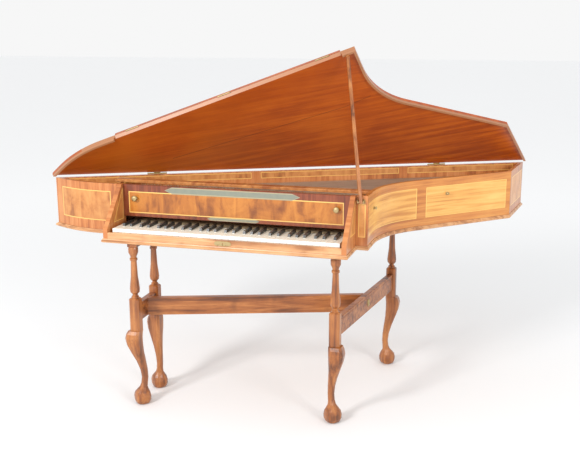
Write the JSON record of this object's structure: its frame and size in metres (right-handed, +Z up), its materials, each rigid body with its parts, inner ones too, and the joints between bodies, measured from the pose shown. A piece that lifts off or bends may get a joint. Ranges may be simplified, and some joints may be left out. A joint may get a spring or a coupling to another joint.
{
  "type": "bentside spinet",
  "caption": "Five-octave bentside spinet in figured walnut with propped mahogany lid, folded keyboard flap, 61 keys and a stand with cabriole legs.",
  "frame": {"origin": "middle of the front left foot's flat sole, on the floor", "axes": "+X along the keyboard to the player's right, +Y away from the player, +Z up"},
  "size_m": [1.7242, 1.1195, 1.2896],
  "materials": {
    "case_walnut": "french polished walnut veneer",
    "lid_mahogany": "french polished mahogany",
    "stand_walnut": "waxed walnut",
    "pine": "bare pine",
    "spruce": "bare spruce",
    "beech": "bare beech",
    "limewood": "bare limewood",
    "pearwood": "bare pearwood",
    "ivory": "polished ivory, worn",
    "ebony": "polished ebony",
    "brass": "polished brass, aged"
  },
  "bodies": {
    "case": {"bearer_left": "stand_walnut", "bearer_right": "stand_walnut", "belly_rail": "pine", "bentside": "case_walnut", "bolt_cover": "brass", "bottom_board": "case_walnut", "bridge": "beech", "front_return": "case_walnut", "hinge_leaf_left": "brass", "hinge_leaf_right": "brass", "hitchpin_rail": "beech", "hook_stud_back": "brass", "hook_stud_front": "brass", "jack_guide": "beech", "key_frame": "limewood", "key_slip": "case_walnut", "keys_bass": "ivory", "keys_treble": "ivory", "left_cheek": "case_walnut", "left_end": "case_walnut", "leg_back_left": "stand_walnut", "leg_back_right": "stand_walnut", "leg_front_left": "stand_walnut", "leg_front_right": "stand_walnut", "lock_plate": "brass", "prop_bracket": "brass", "right_cheek": "case_walnut", "soundboard": "spruce", "spine": "case_walnut", "stretcher_left": "stand_walnut", "stretcher_long": "stand_walnut", "stretcher_right": "stand_walnut", "tail": "case_walnut", "wrestplank": "beech"},
    "lid": {"lid": "lid_mahogany", "lid_leaf_left": "brass", "lid_leaf_right": "brass", "flap_hinge_left": "brass", "flap_hinge_middle": "brass", "flap_hinge_right": "brass"},
    "flap": {"flap": "lid_mahogany"},
    "prop": {"prop_stick": "stand_walnut"},
    "jack_rail": {"jack_rail": "case_walnut"},
    "nameboard": {"nameboard": "case_walnut", "knob_left": "brass", "knob_right": "brass"},
    "key_f": {"key_f": "ivory"},
    "jack_f": {"jack_f": "pearwood"},
    "key_f_sharp": {"key_f_sharp": "ebony"},
    "jack_f_sharp": {"jack_f_sharp": "pearwood"},
    "key_g": {"key_g": "ivory"},
    "jack_g": {"jack_g": "pearwood"},
    "key_g_sharp": {"key_g_sharp": "ebony"},
    "jack_g_sharp": {"jack_g_sharp": "pearwood"},
    "key_a": {"key_a": "ivory"},
    "jack_a": {"jack_a": "pearwood"},
    "key_a_sharp": {"key_a_sharp": "ebony"},
    "jack_a_sharp": {"jack_a_sharp": "pearwood"},
    "key_b": {"key_b": "ivory"},
    "jack_b": {"jack_b": "pearwood"}
  },
  "joints": [
    {"name": "lid_hinge", "type": "hinge", "parent": "case", "child": "lid", "pos_m": [-0.41711, 0.18238, 0.798], "axis": [-0.8864, -0.4628, 0], "range_deg": [-48, 0]},
    {"name": "flap_hinge", "type": "hinge", "parent": "lid", "child": "flap", "pos_m": [-0.15333, 0.168, 0.96807], "axis": [0.9291, 0.1357, 0.344], "range_deg": [0, 229]},
    {"name": "prop_pivot", "type": "hinge", "parent": "case", "child": "prop", "pos_m": [0.78751, 0.10551, 0.779], "axis": [-0.8864, -0.4628, 0], "range_deg": [-202.1, 0]},
    {"name": "jack_rail_lift", "type": "slide", "parent": "case", "child": "jack_rail", "axis": [0, 0, 1], "range_m": [0, 0.03]},
    {"name": "nameboard_lift", "type": "slide", "parent": "case", "child": "nameboard", "axis": [0, 0, 1], "range_m": [0, 0.1]},
    {"name": "key_f_pivot", "type": "hinge", "parent": "case", "child": "key_f", "pos_m": [0.21839, 0.13751, 0.6416], "axis": [1, 0, 0], "range_deg": [0, 3.2], "stiffness_Nm_per_rad": 0.6, "springref_deg": -2.01},
    {"name": "jack_f_rise", "type": "slide", "parent": "case", "child": "jack_f", "axis": [0, 0, 1], "range_m": [0, 0.00584]},
    {"name": "key_f_sharp_pivot", "type": "hinge", "parent": "case", "child": "key_f_sharp", "pos_m": [0.23076, 0.13751, 0.6416], "axis": [1, 0, 0], "range_deg": [0, 3.2], "stiffness_Nm_per_rad": 0.6, "springref_deg": -2.01},
    {"name": "jack_f_sharp_rise", "type": "slide", "parent": "case", "child": "jack_f_sharp", "axis": [0, 0, 1], "range_m": [0, 0.00584]},
    {"name": "key_g_pivot", "type": "hinge", "parent": "case", "child": "key_g", "pos_m": [0.24439, 0.13751, 0.6416], "axis": [1, 0, 0], "range_deg": [0, 3.2], "stiffness_Nm_per_rad": 0.6, "springref_deg": -2.01},
    {"name": "jack_g_rise", "type": "slide", "parent": "case", "child": "jack_g", "axis": [0, 0, 1], "range_m": [0, 0.00584]},
    {"name": "key_g_sharp_pivot", "type": "hinge", "parent": "case", "child": "key_g_sharp", "pos_m": [0.25801, 0.13751, 0.6416], "axis": [1, 0, 0], "range_deg": [0, 3.2], "stiffness_Nm_per_rad": 0.6, "springref_deg": -2.01},
    {"name": "jack_g_sharp_rise", "type": "slide", "parent": "case", "child": "jack_g_sharp", "axis": [0, 0, 1], "range_m": [0, 0.00584]},
    {"name": "key_a_pivot", "type": "hinge", "parent": "case", "child": "key_a", "pos_m": [0.27164, 0.13751, 0.6416], "axis": [1, 0, 0], "range_deg": [0, 3.2], "stiffness_Nm_per_rad": 0.6, "springref_deg": -2.01},
    {"name": "jack_a_rise", "type": "slide", "parent": "case", "child": "jack_a", "axis": [0, 0, 1], "range_m": [0, 0.00584]},
    {"name": "key_a_sharp_pivot", "type": "hinge", "parent": "case", "child": "key_a_sharp", "pos_m": [0.28527, 0.13751, 0.6416], "axis": [1, 0, 0], "range_deg": [0, 3.2], "stiffness_Nm_per_rad": 0.6, "springref_deg": -2.01},
    {"name": "jack_a_sharp_rise", "type": "slide", "parent": "case", "child": "jack_a_sharp", "axis": [0, 0, 1], "range_m": [0, 0.00584]},
    {"name": "key_b_pivot", "type": "hinge", "parent": "case", "child": "key_b", "pos_m": [0.29764, 0.13751, 0.6416], "axis": [1, 0, 0], "range_deg": [0, 3.2], "stiffness_Nm_per_rad": 0.6, "springref_deg": -2.01},
    {"name": "jack_b_rise", "type": "slide", "parent": "case", "child": "jack_b", "axis": [0, 0, 1], "range_m": [0, 0.00584]}
  ],
  "couplings": [
    {"joint": "prop_pivot", "follows": "lid_hinge", "ratio": 4.2104},
    {"joint": "jack_f_rise", "follows": "key_f_pivot", "m_per_rad": 0.1045},
    {"joint": "jack_f_sharp_rise", "follows": "key_f_sharp_pivot", "m_per_rad": 0.1045},
    {"joint": "jack_g_rise", "follows": "key_g_pivot", "m_per_rad": 0.1045},
    {"joint": "jack_g_sharp_rise", "follows": "key_g_sharp_pivot", "m_per_rad": 0.1045},
    {"joint": "jack_a_rise", "follows": "key_a_pivot", "m_per_rad": 0.1045},
    {"joint": "jack_a_sharp_rise", "follows": "key_a_sharp_pivot", "m_per_rad": 0.1045},
    {"joint": "jack_b_rise", "follows": "key_b_pivot", "m_per_rad": 0.1045}
  ]
}
